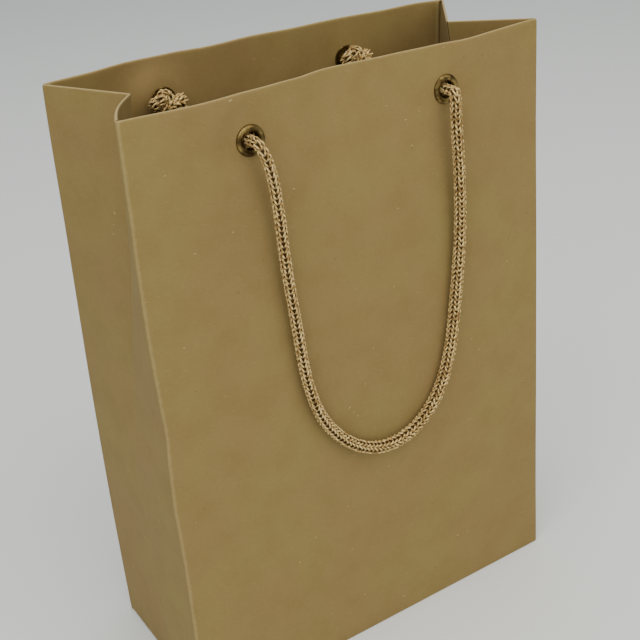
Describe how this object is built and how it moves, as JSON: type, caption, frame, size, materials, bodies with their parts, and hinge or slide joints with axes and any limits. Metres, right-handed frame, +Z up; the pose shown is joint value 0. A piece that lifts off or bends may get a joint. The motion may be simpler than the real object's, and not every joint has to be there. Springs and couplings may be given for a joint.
{
  "type": "gift bag",
  "caption": "Open flat-bottomed kraft paper gift bag with side gussets, metal eyelets and a knotted cord handle on each wide wall.",
  "frame": {"origin": "on the ground under the middle of the base", "axes": "+X to the right along the front wall, +Y from the front wall to the back wall, +Z up out of the mouth"},
  "size_m": [0.18, 0.0894, 0.25],
  "materials": {
    "kraft_paper": "matt, uncoated",
    "top_card": "matt",
    "base_board": "matt",
    "antique_brass": "aged, satin",
    "knitted_cord": "knitted polyester"
  },
  "bodies": {
    "base": {"base_board": "base_board", "bottom_back_flap": "kraft_paper", "bottom_front_flap": "kraft_paper", "left_end_flap": "kraft_paper", "left_gusset_back": "kraft_paper", "left_gusset_back_hem": "kraft_paper", "left_gusset_front": "kraft_paper", "left_gusset_front_hem": "kraft_paper", "right_end_flap": "kraft_paper", "right_gusset_back": "kraft_paper", "right_gusset_back_hem": "kraft_paper", "right_gusset_front": "kraft_paper", "right_gusset_front_hem": "kraft_paper"},
    "front_wall": {"front_hem": "kraft_paper", "front_left_eyelet": "antique_brass", "front_left_knot": "knitted_cord", "front_left_washer": "antique_brass", "front_panel": "kraft_paper", "front_right_eyelet": "antique_brass", "front_right_knot": "knitted_cord", "front_right_washer": "antique_brass", "front_top_card": "top_card"},
    "back_wall": {"back_hem": "kraft_paper", "back_left_eyelet": "antique_brass", "back_left_knot": "knitted_cord", "back_left_washer": "antique_brass", "back_panel": "kraft_paper", "back_right_eyelet": "antique_brass", "back_right_knot": "knitted_cord", "back_right_washer": "antique_brass", "back_top_card": "top_card", "side_seam_flap": "kraft_paper"},
    "front_handle": {"front_handle_cord": "knitted_cord"},
    "back_handle": {"back_handle_cord": "knitted_cord"}
  },
  "joints": [
    {"name": "front_wall_lean", "type": "hinge", "parent": "base", "child": "front_wall", "pos_m": [0, -0.04, 0.00045], "axis": [-1, 0, 0], "range_deg": [-0.6, 4.5], "stiffness_Nm_per_rad": 0.3, "deforming": ["left_gusset_front", "left_gusset_front_hem", "right_gusset_front", "right_gusset_front_hem"]},
    {"name": "back_wall_lean", "type": "hinge", "parent": "base", "child": "back_wall", "pos_m": [0, 0.04, 0.00045], "axis": [1, 0, 0], "range_deg": [-3.4, 4.5], "stiffness_Nm_per_rad": 0.3, "deforming": ["left_gusset_back", "left_gusset_back_hem", "right_gusset_back", "right_gusset_back_hem"]},
    {"name": "front_handle_swing", "type": "hinge", "parent": "front_wall", "child": "front_handle", "pos_m": [0, -0.04317, 0.23306], "axis": [-1, 0, 0], "range_deg": [0, 180]},
    {"name": "back_handle_swing", "type": "hinge", "parent": "back_wall", "child": "back_handle", "pos_m": [0, 0.03736, 0.23319], "axis": [1, 0, 0], "range_deg": [0, 180]}
  ]
}
